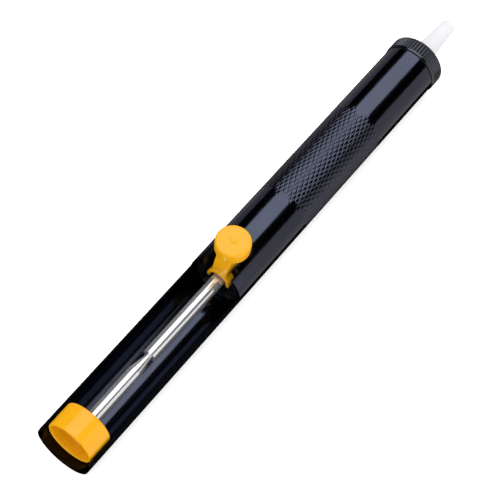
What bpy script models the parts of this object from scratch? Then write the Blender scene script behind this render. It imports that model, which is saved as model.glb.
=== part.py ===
"""Desoldering pump: a spring-loaded piston in a round barrel, cocked by a knob and fired by a thumb button.

The barrel lies along X with the nozzle at +X and the release button at +Z. Along the barrel, every length below
is measured from the tail rim. Across it, every height is measured from the barrel's axis.
"""

import math

import bmesh
import bpy

MM = 0.001

# Clearances
GAP = 0.3 * MM  # between pieces that touch or slide in the real pump

# Barrel: a thin tube whose upper half is cut away behind the release button
BARREL_LENGTH = 188.0 * MM
BARREL_R = 10.0 * MM
BARREL_WALL = 1.0 * MM
TROUGH_END = 75.4 * MM  # the full tube starts here
TROUGH_EDGE_Z = 1.0 * MM  # height of the trough's two long edges
TROUGH_CORNER_R = 2.5 * MM
NOTCH_HALF_WIDTH = 5.6 * MM
NOTCH_ROUND_X = 85.4 * MM  # centre of the notch's round end

# Nose: a screw cap that clamps the nozzle
CAP_R = 10.4 * MM
CAP_LIP_R = 10.15 * MM
CAP_FRONT = 194.4 * MM
CAP_BOSS_FRONT = 196.0 * MM
CAP_BOSS_R = 5.0 * MM
CAP_ROUND = 0.9 * MM
SPIGOT_REAR = 179.0 * MM
SPIGOT_BORE_R = 7.2 * MM
CAP_WALL_REAR = 191.5 * MM
NOZZLE_TIP = 215.0 * MM
NOZZLE_BASE_R = 3.75 * MM
NOZZLE_TIP_R = 2.65 * MM
NOZZLE_BORE_R = 1.3 * MM
FLANGE_REAR = 188.6 * MM
FLANGE_THICKNESS = 1.4 * MM
SEAL_THICKNESS = 0.9 * MM
RETAINER_THICKNESS = 1.4 * MM

# Plunger
SHAFT_R = 2.35 * MM
SHAFT_REAR = 10.0 * MM
SHAFT_SHOULDER = 98.4 * MM  # where it steps down to the threaded end
SHAFT_FRONT = 110.6 * MM
THREAD_R = 1.5 * MM
GROOVE_FRONT = 41.4 * MM  # the catch's sharp shoulder, facing the tail
GROOVE_REAR = 34.2 * MM
GROOVE_R = 1.05 * MM
KNOB_REAR = 3.2 * MM
KNOB_FRONT = 12.7 * MM
KNOB_R = 8.45 * MM
KNOB_WALL = 1.05 * MM
KNOB_FLOOR = 7.6 * MM  # where the cup ends
KNOB_SCREW_HEAD_R = 2.6 * MM
KNOB_SCREW_R = 1.0 * MM
KNOB_SCREW_FRONT = 17.0 * MM
PISTON_REAR = 98.7 * MM
PISTON_FRONT = 108.7 * MM
PISTON_R = 8.5 * MM
O_RING_R = 7.75 * MM  # to the middle of its section
O_RING_SECTION_R = 1.0 * MM
O_RING_X = 103.7 * MM
PISTON_RECESS_R = 4.2 * MM
PISTON_RECESS_REAR = 106.3 * MM
WASHER_THICKNESS = 0.7 * MM
NUT_ACROSS_FLATS = 5.5 * MM
NUT_THICKNESS = 2.3 * MM
PIN_R = 0.6 * MM
PIN_REAR = 106.0 * MM
PIN_TIP = 171.0 * MM
MAIN_COIL_R = 6.4 * MM
MAIN_WIRE_R = 0.55 * MM
MAIN_COIL_TURNS = 16

# Guide bush and its bumper, fixed inside the barrel
BUSH_REAR = 76.4 * MM
BUSH_FRONT = 96.0 * MM
BUSH_R = 8.7 * MM
BUSH_BORE_R = 2.7 * MM
POCKET_FRONT = 86.6 * MM
POCKET_HALF_WIDTH = 5.75 * MM
POCKET_FLOOR_Z = -6.3 * MM
SPRING_WELL_R = 2.0 * MM
SPRING_WELL_Z = -8.3 * MM
BUSH_SCREW_X = 92.0 * MM
BUSH_SCREW_ANGLE = math.radians(120)  # from straight up, to either side
BUSH_SCREW_HEAD_R = 1.7 * MM
BUSH_SCREW_R = 0.8 * MM
BUMPER_R = 6.0 * MM
BUMPER_THICKNESS = 2.0 * MM

# Release button: head, neck and a saddle over the shaft
BUTTON_X = 82.6 * MM
HEAD_R = 5.95 * MM
HEAD_TOP_Z = 18.1 * MM
HEAD_UNDER_Z = 13.3 * MM
HEAD_ROUND = 0.9 * MM
DIMPLE_R = 1.7 * MM
DIMPLE_DEPTH = 0.3 * MM
NECK_R = 3.4 * MM
NECK_HALF_WIDTH = 2.8 * MM
NECK_FRONT = 86.2 * MM
NECK_UNDER_Z = 4.8 * MM
SADDLE_REAR = 76.4 * MM
SADDLE_FRONT = 79.9 * MM
SADDLE_INNER_R = 3.3 * MM
SADDLE_INNER_Z = 0.6 * MM  # height of the arch's inner centre
SADDLE_OUTER_R = 4.4 * MM
SADDLE_OUTER_Z = 0.5 * MM
SADDLE_FOOT_Z = -0.3 * MM

# Latch plate and the spring under it
PLATE_X = 81.0 * MM
PLATE_THICKNESS = 1.0 * MM
PLATE_HALF_WIDTH = 4.5 * MM
PLATE_HOLE_R = 2.65 * MM
PLATE_HOLE_TOP_Z = 4.15 * MM
PLATE_SHOULDER_Z = 4.5 * MM
PLATE_BOTTOM_Z = -4.6 * MM
TAB_HALF_WIDTH = 1.7 * MM
TAB_TOP_Z = 9.3 * MM
BUTTON_COIL_R = 1.4 * MM
BUTTON_WIRE_R = 0.22 * MM
BUTTON_COIL_TURNS = 3

LARGE_STEPS = 40
SMALL_STEPS = 20
WIRE_STEPS = 10
WELD = 0.01 * MM
CUT_PAST = 5.0 * MM  # how far a cutter runs past what it cuts

LENGTH = NOZZLE_TIP
AXIS_Z = CAP_R * math.cos(math.pi / LARGE_STEPS)  # the cap's lowest facet is at z = 0
TAIL = (-LENGTH / 2, 0.0, AXIS_Z)  # the tail rim's centre
BUTTON_FOOT = (BUTTON_X - LENGTH / 2, 0.0, AXIS_Z)  # where the button's line crosses the barrel's axis
ALONG_X = (0.0, math.pi / 2, 0.0)  # turns a profile's own Z to +X
ALONG_Z = (0.0, 0.0, 0.0)
FACING_X = (math.pi / 2, 0.0, math.pi / 2)  # a flat outline drawn in Y and Z, thick along X
FACING_Y = (math.pi / 2, 0.0, 0.0)  # a flat outline drawn in X and Z, thick along Y

# name: colour, roughness, metallic
FINISHES = {
    "black_anodised": ((0.012, 0.012, 0.016), 0.22, 0.6),
    "black_plastic": ((0.02, 0.02, 0.022), 0.5, 0.0),
    "chrome": ((0.86, 0.87, 0.88), 0.08, 1.0),
    "steel": ((0.6, 0.6, 0.6), 0.3, 1.0),
    "blued_steel": ((0.05, 0.05, 0.06), 0.35, 1.0),
    "spring_steel": ((0.45, 0.45, 0.47), 0.3, 1.0),
    "brass": ((0.72, 0.52, 0.22), 0.3, 1.0),
    "yellow_plastic": ((0.95, 0.45, 0.02), 0.35, 0.0),
    "white_acetal": ((0.85, 0.85, 0.82), 0.4, 0.0),
    "white_ptfe": ((0.9, 0.9, 0.92), 0.35, 0.0),
    "black_rubber": ((0.02, 0.02, 0.02), 0.8, 0.0),
}


def clear_scene():
    for obj in list(bpy.data.objects):
        bpy.data.objects.remove(obj)


def new_collection(name):
    collection = bpy.data.collections.new(name)
    bpy.context.scene.collection.children.link(collection)
    return collection


def material(finish):
    """One material for each finish, made the first time it is asked for."""
    made = bpy.data.materials.get(finish)
    if made is None:
        colour, roughness, metallic = FINISHES[finish]
        made = bpy.data.materials.new(finish)
        made.use_nodes = True
        shader = made.node_tree.nodes["Principled BSDF"]
        shader.inputs["Base Color"].default_value = (*colour, 1.0)
        shader.inputs["Roughness"].default_value = roughness
        shader.inputs["Metallic"].default_value = metallic
        made.diffuse_color = (*colour, 1.0)
    return made


def place(name, data, finish, location, rotation):
    """Puts a mesh or curve in the pump, or, with no finish, among the cutters."""
    obj = bpy.data.objects.new(name, data)
    obj.location = location
    obj.rotation_euler = rotation
    if finish:
        pump.objects.link(obj)
        data.materials.append(material(finish))
    else:
        cutters.objects.link(obj)
        obj.hide_render = True
        obj.display_type = "WIRE"
    return obj


def arc(centre, radius, start, end, steps):
    """Points of an arc from one angle to another, in degrees, both ends included."""
    points = []
    for i in range(steps + 1):
        angle = math.radians(start + (end - start) * i / steps)
        points.append((centre[0] + radius * math.cos(angle), centre[1] + radius * math.sin(angle)))
    return points


def turned(name, profile, finish, location=TAIL, rotation=ALONG_X, steps=LARGE_STEPS):
    """Turns a profile of (place along the axis, radius) pairs, front to back on its outer side."""
    half_step = math.pi / steps  # a facet, not a corner, faces straight down
    mesh = bpy.data.meshes.new(name)
    points = [(r * math.cos(half_step), r * math.sin(half_step), along) for along, r in profile]
    edges = [(i, i + 1) for i in range(len(points) - 1)]
    if profile[0][1] > 0:
        edges.append((len(points) - 1, 0))
    mesh.from_pydata(points, edges, [])
    obj = place(name, mesh, finish, location, rotation)
    screw = obj.modifiers.new("turn", "SCREW")
    screw.axis = "Z"
    screw.steps = steps
    screw.render_steps = steps
    screw.use_merge_vertices = True
    screw.merge_threshold = WELD
    screw.use_smooth_shade = True
    return obj


def ring(name, rear, front, inner_r, outer_r, finish, **turning):
    return turned(name, [(front, inner_r), (front, outer_r), (rear, outer_r), (rear, inner_r)], finish, **turning)


def rod(name, rear, front, radius, finish, **turning):
    return turned(name, [(front, 0.0), (front, radius), (rear, radius), (rear, 0.0)], finish, **turning)


def as_mesh(obj, finish):
    """Makes a mesh of a curve, welds its caps and removes the curve."""
    bpy.context.view_layer.update()
    graph = bpy.context.evaluated_depsgraph_get()
    mesh = bpy.data.meshes.new_from_object(obj.evaluated_get(graph))
    work = bmesh.new()
    work.from_mesh(mesh)
    bmesh.ops.remove_doubles(work, verts=work.verts, dist=WELD)
    bmesh.ops.recalc_face_normals(work, faces=work.faces)
    work.to_mesh(mesh)
    work.free()
    name, location, rotation = obj.name, tuple(obj.location), tuple(obj.rotation_euler)
    bpy.data.objects.remove(obj)
    mesh.materials.clear()
    return place(name, mesh, finish, location, rotation)


def plate(name, outlines, thickness, finish, location, rotation):
    """A flat piece from closed outlines, the first its edge and any others its holes."""
    curve = bpy.data.curves.new(name, "CURVE")
    curve.dimensions = "2D"
    curve.fill_mode = "BOTH"
    curve.extrude = thickness / 2
    for outline in outlines:
        spline = curve.splines.new("POLY")
        spline.points.add(len(outline) - 1)
        for point, (x, y) in zip(spline.points, outline):
            point.co = (x, y, 0.0, 1.0)
        spline.use_cyclic_u = True
    return as_mesh(place(name, curve, None, location, rotation), finish)


def block(name, x, y, z, location):
    """A box cutter between two values on each axis, measured from a location."""
    mesh = bpy.data.meshes.new(name)
    work = bmesh.new()
    bmesh.ops.create_cube(work, size=1.0)
    for vertex in work.verts:
        for axis, (low, high) in enumerate((x, y, z)):
            vertex.co[axis] = low if vertex.co[axis] < 0 else high
    work.to_mesh(mesh)
    work.free()
    return place(name, mesh, None, location, ALONG_Z)


def cut(obj, cutter):
    change = obj.modifiers.new(cutter.name, "BOOLEAN")
    change.operation = "DIFFERENCE"
    change.object = cutter
    change.solver = "EXACT"


def join(obj, other):
    change = obj.modifiers.new(other.name, "BOOLEAN")
    change.operation = "UNION"
    change.object = other
    change.solver = "EXACT"


def coil(name, start, end, radius, wire_r, turns, finish, location, rotation):
    """A compression spring along its own Z, as one wire."""
    curve = bpy.data.curves.new(name, "CURVE")
    curve.dimensions = "3D"
    curve.bevel_depth = wire_r
    curve.bevel_resolution = 2
    curve.use_fill_caps = True
    spline = curve.splines.new("POLY")
    count = turns * WIRE_STEPS
    spline.points.add(count)
    for i, point in enumerate(spline.points):
        angle = 2 * math.pi * i / WIRE_STEPS
        height = start + wire_r + (end - start - 2 * wire_r) * i / count
        point.co = (radius * math.cos(angle), radius * math.sin(angle), height, 1.0)
    return place(name, curve, finish, location, rotation)


def bush_screw_turns():
    """The two screws' rotations, and the names of their sides."""
    return (("left", (BUSH_SCREW_ANGLE, 0.0, 0.0)), ("right", (-BUSH_SCREW_ANGLE, 0.0, 0.0)))


def screw_foot():
    return (BUSH_SCREW_X - LENGTH / 2, 0.0, AXIS_Z)


def make_barrel():
    inner = BARREL_R - BARREL_WALL
    chamfer = 0.3 * MM
    profile = [
        (BARREL_LENGTH, inner),
        (BARREL_LENGTH, BARREL_R - chamfer),
        (BARREL_LENGTH - chamfer, BARREL_R),
        (0.0, BARREL_R),
        (0.0, inner),
    ]
    barrel = turned("barrel_tube", profile, "black_anodised")

    above = 2 * BARREL_R
    corner = (TROUGH_CORNER_R, TROUGH_EDGE_Z - TROUGH_CORNER_R)
    side_view = [(TROUGH_END, above), (TROUGH_END, TROUGH_EDGE_Z)]
    side_view += arc(corner, TROUGH_CORNER_R, 90, 180, 6)
    side_view += [(-CUT_PAST, corner[1]), (-CUT_PAST, above)]
    cut(barrel, plate("trough_cutter", [side_view], 3 * BARREL_R, None, TAIL, FACING_Y))

    top_view = [(TROUGH_END - CUT_PAST, -NOTCH_HALF_WIDTH)]
    top_view += arc((NOTCH_ROUND_X, 0.0), NOTCH_HALF_WIDTH, -90, 90, 12)
    top_view += [(TROUGH_END - CUT_PAST, NOTCH_HALF_WIDTH)]
    over_tube = (TAIL[0], 0.0, AXIS_Z + BARREL_R)
    cut(barrel, plate("notch_cutter", [top_view], 1.6 * BARREL_R, None, over_tube, ALONG_Z))

    for side, turn in bush_screw_turns():
        cutter = rod(
            "barrel_screw_hole_" + side, BARREL_R / 2, BARREL_R + CUT_PAST, BUSH_SCREW_HEAD_R + GAP, None,
            location=screw_foot(), rotation=turn, steps=SMALL_STEPS,
        )
        cut(barrel, cutter)


def make_nose():
    lip_front = 188.8 * MM
    lip_rear = BARREL_LENGTH + GAP
    gasket_thickness = 0.7 * MM
    recess_front = lip_rear + gasket_thickness + GAP
    recess_r = 9.8 * MM
    spigot_r = BARREL_R - BARREL_WALL - GAP
    hole_r = NOZZLE_BASE_R + GAP
    profile = [(CAP_BOSS_FRONT, hole_r), (CAP_BOSS_FRONT, CAP_BOSS_R), (CAP_FRONT, CAP_R - 2 * CAP_ROUND)]
    profile += [
        (along, r)
        for r, along in arc((CAP_R - CAP_ROUND, CAP_FRONT - CAP_ROUND), CAP_ROUND, 90, 0, 4)
    ]
    profile += [
        (lip_front + GAP, CAP_R),
        (lip_front, CAP_LIP_R),
        (lip_rear, CAP_LIP_R),
        (lip_rear, recess_r),
        (recess_front, recess_r),
        (recess_front, spigot_r),
        (SPIGOT_REAR, spigot_r),
        (SPIGOT_REAR, SPIGOT_BORE_R),
        (CAP_WALL_REAR, SPIGOT_BORE_R),
        (CAP_WALL_REAR, hole_r),
    ]
    turned("nose_cap", profile, "black_plastic")
    ring("cap_gasket", lip_rear, lip_rear + gasket_thickness, spigot_r + GAP, recess_r - GAP, "black_rubber")

    inside_r = SPIGOT_BORE_R - GAP
    flange_front = FLANGE_REAR + FLANGE_THICKNESS
    mouth_round = 0.9 * MM
    profile = [(NOZZLE_TIP, NOZZLE_BORE_R), (NOZZLE_TIP, NOZZLE_TIP_R - mouth_round)]
    profile += [
        (along, r)
        for r, along in arc((NOZZLE_TIP_R - mouth_round, NOZZLE_TIP - mouth_round), mouth_round, 60, 0, 3)
    ]
    profile += [
        (CAP_BOSS_FRONT + GAP, NOZZLE_BASE_R),
        (flange_front, NOZZLE_BASE_R),
        (flange_front, inside_r),
        (FLANGE_REAR, inside_r),
        (FLANGE_REAR, 2 * NOZZLE_BORE_R),
        (flange_front, NOZZLE_BORE_R),
    ]
    turned("nozzle", profile, "white_ptfe", steps=SMALL_STEPS)
    seal_rear = flange_front + GAP
    ring("nozzle_seal", seal_rear, seal_rear + SEAL_THICKNESS, hole_r + GAP, inside_r, "black_rubber", steps=SMALL_STEPS)
    retainer_front = FLANGE_REAR - GAP
    ring(
        "nozzle_retaining_ring", retainer_front - RETAINER_THICKNESS, retainer_front, 4.3 * MM, inside_r, "brass",
        steps=SMALL_STEPS,
    )


def make_plunger():
    blind_end = 105.5 * MM
    pin_hole_r = PIN_R + GAP
    screw_hole_r = KNOB_SCREW_R + GAP
    screw_hole_end = KNOB_SCREW_FRONT + 2 * GAP
    chamfer = 0.3 * MM
    profile = [
        (blind_end, 0.0),
        (blind_end, pin_hole_r),
        (SHAFT_FRONT, pin_hole_r),
        (SHAFT_FRONT, THREAD_R),
        (SHAFT_SHOULDER, THREAD_R),
        (SHAFT_SHOULDER, SHAFT_R),
        (GROOVE_FRONT, SHAFT_R),
        (GROOVE_FRONT, GROOVE_R),
        (GROOVE_REAR, SHAFT_R),
        (SHAFT_REAR + chamfer, SHAFT_R),
        (SHAFT_REAR, SHAFT_R - chamfer),
        (SHAFT_REAR, screw_hole_r),
        (screw_hole_end, screw_hole_r),
        (screw_hole_end, 0.0),
    ]
    turned("plunger_shaft", profile, "chrome", steps=SMALL_STEPS)

    cup_r = KNOB_R - KNOB_WALL
    rim = KNOB_WALL / 2
    edge = 0.75 * MM
    head_seat = 8.9 * MM
    socket_end = SHAFT_REAR - GAP
    profile = [(KNOB_FRONT, SHAFT_R + GAP)]
    profile += [(along, r) for r, along in arc((KNOB_R - edge, KNOB_FRONT - edge), edge, 90, 0, 4)]
    profile += [(along, r) for r, along in arc((KNOB_R - rim, KNOB_REAR + rim), rim, 0, -180, 6)]
    profile += [
        (KNOB_FLOOR, cup_r),
        (KNOB_FLOOR, KNOB_SCREW_HEAD_R + GAP),
        (head_seat, KNOB_SCREW_HEAD_R + GAP),
        (head_seat, screw_hole_r),
        (socket_end, screw_hole_r),
        (socket_end, SHAFT_R + GAP),
    ]
    turned("plunger_knob", profile, "yellow_plastic")
    head_front = head_seat - GAP
    head_rear = 7.7 * MM
    profile = [
        (KNOB_SCREW_FRONT, 0.0),
        (KNOB_SCREW_FRONT, KNOB_SCREW_R),
        (head_front, KNOB_SCREW_R),
        (head_front, KNOB_SCREW_HEAD_R),
        (head_rear, KNOB_SCREW_HEAD_R),
        (head_rear, 0.0),
    ]
    screw = turned("knob_screw", profile, "steel", steps=SMALL_STEPS)
    slot_half, slot_depth = 0.3 * MM, 0.5 * MM
    slot_reach = KNOB_SCREW_HEAD_R + GAP
    slot = block(
        "knob_screw_slot_cutter",
        (head_rear - CUT_PAST, head_rear + slot_depth), (-slot_half, slot_half), (-slot_reach, slot_reach), TAIL,
    )
    cut(screw, slot)


def make_piston():
    bore_r = THREAD_R + GAP
    groove_half = O_RING_SECTION_R + GAP
    groove_r = O_RING_R - O_RING_SECTION_R - GAP
    profile = [
        (PISTON_FRONT, PISTON_RECESS_R),
        (PISTON_FRONT, PISTON_R),
        (O_RING_X + groove_half, PISTON_R),
        (O_RING_X + groove_half, groove_r),
        (O_RING_X - groove_half, groove_r),
        (O_RING_X - groove_half, PISTON_R),
        (PISTON_REAR, PISTON_R),
        (PISTON_REAR, bore_r),
        (PISTON_RECESS_REAR, bore_r),
        (PISTON_RECESS_REAR, PISTON_RECESS_R),
    ]
    turned("piston", profile, "white_acetal")
    section = [(O_RING_X + x, O_RING_R + r) for r, x in arc((0.0, 0.0), O_RING_SECTION_R, 90, -225, 7)]
    turned("piston_o_ring", section, "black_rubber")
    washer_rear = PISTON_RECESS_REAR + GAP
    washer_front = washer_rear + WASHER_THICKNESS
    ring("piston_washer", washer_rear, washer_front, bore_r, 3.7 * MM, "steel", steps=SMALL_STEPS)
    corner_r = NUT_ACROSS_FLATS / math.sqrt(3)
    hexagon = arc((0.0, 0.0), corner_r, 0, 300, 5)
    hole = arc((0.0, 0.0), bore_r, 0, 360 - 360 / SMALL_STEPS, SMALL_STEPS - 1)
    nut_x = washer_front + GAP + NUT_THICKNESS / 2
    plate("piston_nut", [hexagon, hole], NUT_THICKNESS, "brass", (TAIL[0] + nut_x, 0.0, AXIS_Z), FACING_X)
    tip = 0.4 * MM
    profile = [(PIN_TIP, 0.0), (PIN_TIP, PIN_R - tip / 2), (PIN_TIP - tip, PIN_R), (PIN_REAR, PIN_R), (PIN_REAR, 0.0)]
    turned("cleaning_pin", profile, "steel", steps=WIRE_STEPS)


def make_main_spring():
    rear = PISTON_FRONT + GAP
    front = FLANGE_REAR - GAP - RETAINER_THICKNESS - GAP
    coil("main_spring", rear, front, MAIN_COIL_R, MAIN_WIRE_R, MAIN_COIL_TURNS, "spring_steel", TAIL, ALONG_X)


def make_guide_bush():
    bush = ring("guide_bush", BUSH_REAR, BUSH_FRONT, BUSH_BORE_R, BUSH_R, "black_plastic")
    pocket = block(
        "pocket_cutter",
        (BUSH_REAR - CUT_PAST, POCKET_FRONT), (-POCKET_HALF_WIDTH, POCKET_HALF_WIDTH), (POCKET_FLOOR_Z, 2 * BUSH_R), TAIL,
    )
    cut(bush, pocket)
    well_foot = (PLATE_X - LENGTH / 2, 0.0, AXIS_Z)
    well = rod(
        "spring_well_cutter", SPRING_WELL_Z, 0.0, SPRING_WELL_R, None,
        location=well_foot, rotation=ALONG_Z, steps=SMALL_STEPS,
    )
    cut(bush, well)

    head_rear = BUSH_R + GAP
    head_top = head_rear + 0.85 * MM
    shank_end = 5.6 * MM
    for side, turn in bush_screw_turns():
        hole = rod(
            "bush_screw_hole_" + side, shank_end - GAP, BARREL_R + CUT_PAST, BUSH_SCREW_R + GAP, None,
            location=screw_foot(), rotation=turn, steps=SMALL_STEPS,
        )
        cut(bush, hole)
        profile = [
            (head_top, 0.0),
            (head_top, BUSH_SCREW_HEAD_R),
            (head_rear, BUSH_SCREW_HEAD_R),
            (head_rear, BUSH_SCREW_R),
            (shank_end, BUSH_SCREW_R),
            (shank_end, 0.0),
        ]
        turned("bush_screw_" + side, profile, "steel", location=screw_foot(), rotation=turn, steps=SMALL_STEPS)

    bumper_rear = BUSH_FRONT + GAP
    ring("bumper_ring", bumper_rear, bumper_rear + BUMPER_THICKNESS, BUSH_BORE_R, BUMPER_R, "black_rubber")


def make_button():
    dimple_edge = DIMPLE_R + DIMPLE_DEPTH
    under_r = HEAD_R - 0.6 * MM
    neck_bottom = 7.5 * MM
    profile = [(HEAD_TOP_Z - DIMPLE_DEPTH, 0.0), (HEAD_TOP_Z - DIMPLE_DEPTH, DIMPLE_R), (HEAD_TOP_Z, dimple_edge)]
    profile += [(z, r) for r, z in arc((HEAD_R - HEAD_ROUND, HEAD_TOP_Z - HEAD_ROUND), HEAD_ROUND, 90, 0, 4)]
    profile += [
        (HEAD_UNDER_Z + 0.7 * MM, HEAD_R),
        (HEAD_UNDER_Z, under_r),
        (HEAD_UNDER_Z - 0.8 * MM, NECK_R + 0.9 * MM),
        (HEAD_UNDER_Z - 2.0 * MM, NECK_R),
        (neck_bottom, NECK_R),
        (neck_bottom, 0.0),
    ]
    button = turned("latch_button", profile, "yellow_plastic", location=BUTTON_FOOT, rotation=ALONG_Z)

    def local(x):
        return x - BUTTON_X

    neck_top = HEAD_UNDER_Z + 1.1 * MM
    neck_foot_z = 3.0 * MM
    step_x = local(SADDLE_FRONT) - 0.4 * MM
    sweep_foot, sweep_top = local(SADDLE_REAR) + 0.4 * MM, local(SADDLE_REAR) + 2.8 * MM
    sweep_foot_z = SADDLE_OUTER_Z + SADDLE_OUTER_R
    side_view = [
        (sweep_foot, neck_foot_z),
        (step_x, neck_foot_z),
        (step_x, NECK_UNDER_Z),
        (local(NECK_FRONT), NECK_UNDER_Z),
        (local(NECK_FRONT), neck_top),
    ]
    sweep_steps = 6
    for i in range(sweep_steps):
        share = i / sweep_steps
        x = sweep_top + (sweep_foot - sweep_top) * share ** 2
        side_view.append((x, neck_top + (sweep_foot_z - neck_top) * share))
    side_view.append((sweep_foot, sweep_foot_z))
    join(button, plate("neck_form", [side_view], 2 * NECK_HALF_WIDTH, None, BUTTON_FOOT, FACING_Y))

    def arch(radius, centre_z, foot_z):
        return [(-radius, foot_z), (radius, foot_z)] + arc((0.0, centre_z), radius, 0, 180, 14)

    saddle_x = (SADDLE_REAR + SADDLE_FRONT) / 2 - LENGTH / 2
    outside = arch(SADDLE_OUTER_R, SADDLE_OUTER_Z, SADDLE_FOOT_Z)
    depth = SADDLE_FRONT - SADDLE_REAR
    join(button, plate("saddle_form", [outside], depth, None, (saddle_x, 0.0, AXIS_Z), FACING_X))
    inside = arch(SADDLE_INNER_R, SADDLE_INNER_Z, SADDLE_FOOT_Z - CUT_PAST)
    depth += 2 * GAP
    cut(button, plate("saddle_arch_cutter", [inside], depth, None, (saddle_x, 0.0, AXIS_Z), FACING_X))

    half = PLATE_THICKNESS / 2 + GAP
    slot = block(
        "plate_slot_cutter", (local(PLATE_X) - half, local(PLATE_X) + half),
        (-TAB_HALF_WIDTH - GAP, TAB_HALF_WIDTH + GAP), (0.0, TAB_TOP_Z + GAP), BUTTON_FOOT,
    )
    cut(button, slot)


def make_latch():
    hole_round_z = PLATE_HOLE_TOP_Z - PLATE_HOLE_R
    hole = arc((0.0, 0.0), PLATE_HOLE_R, 180, 360, 12) + arc((0.0, hole_round_z), PLATE_HOLE_R, 0, 180, 12)
    corner_r = 1.6 * MM
    corner_y, corner_z = PLATE_HALF_WIDTH - corner_r, PLATE_BOTTOM_Z + corner_r
    outline = arc((-corner_y, corner_z), corner_r, 180, 270, 4)
    outline += arc((corner_y, corner_z), corner_r, 270, 360, 4)
    outline += [
        (PLATE_HALF_WIDTH, PLATE_SHOULDER_Z),
        (TAB_HALF_WIDTH, PLATE_SHOULDER_Z),
        (TAB_HALF_WIDTH, TAB_TOP_Z),
        (-TAB_HALF_WIDTH, TAB_TOP_Z),
        (-TAB_HALF_WIDTH, PLATE_SHOULDER_Z),
        (-PLATE_HALF_WIDTH, PLATE_SHOULDER_Z),
    ]
    foot = (PLATE_X - LENGTH / 2, 0.0, AXIS_Z)
    plate("latch_plate", [outline, hole], PLATE_THICKNESS, "blued_steel", foot, FACING_X)
    coil(
        "button_spring", SPRING_WELL_Z + GAP, PLATE_BOTTOM_Z - GAP, BUTTON_COIL_R, BUTTON_WIRE_R, BUTTON_COIL_TURNS,
        "spring_steel", foot, ALONG_Z,
    )


def shade_round_pieces():
    for obj in pump.objects:
        if obj.type == "MESH":
            obj.data.shade_smooth()
            obj.data.set_sharp_from_angle(angle=math.radians(30))
            obj.modifiers.new("normals", "WEIGHTED_NORMAL")


clear_scene()
pump = new_collection("desoldering_pump")
cutters = new_collection("cutters")
make_barrel()
make_nose()
make_plunger()
make_piston()
make_main_spring()
make_guide_bush()
make_button()
make_latch()
shade_round_pieces()
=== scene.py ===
"""Looks of the desoldering pump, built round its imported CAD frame.

The barrel lies along X with the nozzle at +X and the release button at +Z. Sizes are in millimetres, unless
a comment says otherwise. Along the barrel every length is measured from the tail rim, and across it every
height from the barrel's axis. An outline's points are written as (along, radius, corner radius), or as two
of the frame's axes and a corner radius, and a corner that states none stays sharp.
"""

import math

import bmesh
import bpy
from mathutils import Matrix, Vector


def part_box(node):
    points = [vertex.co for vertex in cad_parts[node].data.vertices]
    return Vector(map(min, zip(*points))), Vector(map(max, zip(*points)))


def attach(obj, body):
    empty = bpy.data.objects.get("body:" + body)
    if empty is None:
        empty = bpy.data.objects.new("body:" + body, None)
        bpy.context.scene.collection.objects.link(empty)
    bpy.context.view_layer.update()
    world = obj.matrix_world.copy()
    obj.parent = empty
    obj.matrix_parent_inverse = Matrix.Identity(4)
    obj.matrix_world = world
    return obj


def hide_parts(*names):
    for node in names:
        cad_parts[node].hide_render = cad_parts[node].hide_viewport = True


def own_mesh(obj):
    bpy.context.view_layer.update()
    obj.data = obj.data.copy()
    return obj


MM = 0.001
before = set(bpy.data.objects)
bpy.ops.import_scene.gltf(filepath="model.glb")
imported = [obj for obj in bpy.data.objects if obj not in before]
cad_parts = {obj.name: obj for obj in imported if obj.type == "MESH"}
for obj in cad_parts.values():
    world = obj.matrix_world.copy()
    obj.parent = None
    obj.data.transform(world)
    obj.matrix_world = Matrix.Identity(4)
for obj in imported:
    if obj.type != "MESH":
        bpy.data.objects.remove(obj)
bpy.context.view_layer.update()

TAIL_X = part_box("barrel_tube")[0].x
AXIS_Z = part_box("nozzle")[0].z / 2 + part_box("nozzle")[1].z / 2
FROM_TAIL = Matrix.Translation((TAIL_X, 0.0, AXIS_Z))
ALONG_X = FROM_TAIL @ Matrix.Rotation(math.pi / 2, 4, "Y")

GAP = 0.3  # between pieces that touch or slide in the real pump
PAST = 5.0  # how far a cutter runs past what it cuts

# Barrel: a thin tube whose upper half is cut away behind the release button
BARREL_LENGTH = 188.0
BARREL_R = 10.0
BARREL_INNER_R = 9.0
BARREL_RIM_R = 0.25  # rounding of the tube's two end rims
TROUGH_END = 75.4
TROUGH_EDGE_Z = 1.0
TROUGH_CORNER_R = 2.5
NOTCH_HALF_WIDTH = 5.6
NOTCH_ROUND_X = 85.4
NOTCH_CUT_Z = 2.0  # the notch is cut from here upwards

SHADED_RIM_Z, SHADED_RIM_REACH = 0.75, 0.3  # where the trough's rims get painted shade: coloured nearly black so they show no reflection of the lights
DARK_TAIL_X, DARK_TAIL_REACH = 4.0, 5.0  # where the tail's end is coloured darker
# painted shade: the nearly black colour that takes away the lights' reflection on the trough's rims
RIM_PAINTED_SHADE = (0.004, 0.004, 0.005)
TAIL_BLACK = (0.016, 0.017, 0.022)

# Grip band: crossed grooves round the barrel
KNURL_START, KNURL_END = 109.5, 157.0
KNURL_STARTS = 36  # grooves round the barrel, in each direction
KNURL_COLUMNS = 8  # mesh columns for one groove's pitch
KNURL_ANGLE = math.radians(27)  # between a groove and the barrel's axis
KNURL_DEPTH = 0.12
KNURL_PROFILE = (1.0, 0.45, 0.08, 0.0, 0.0)  # share of the depth, by columns away from a groove
KNURL_FADE = 3.0  # over which the grooves run out at each end

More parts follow.
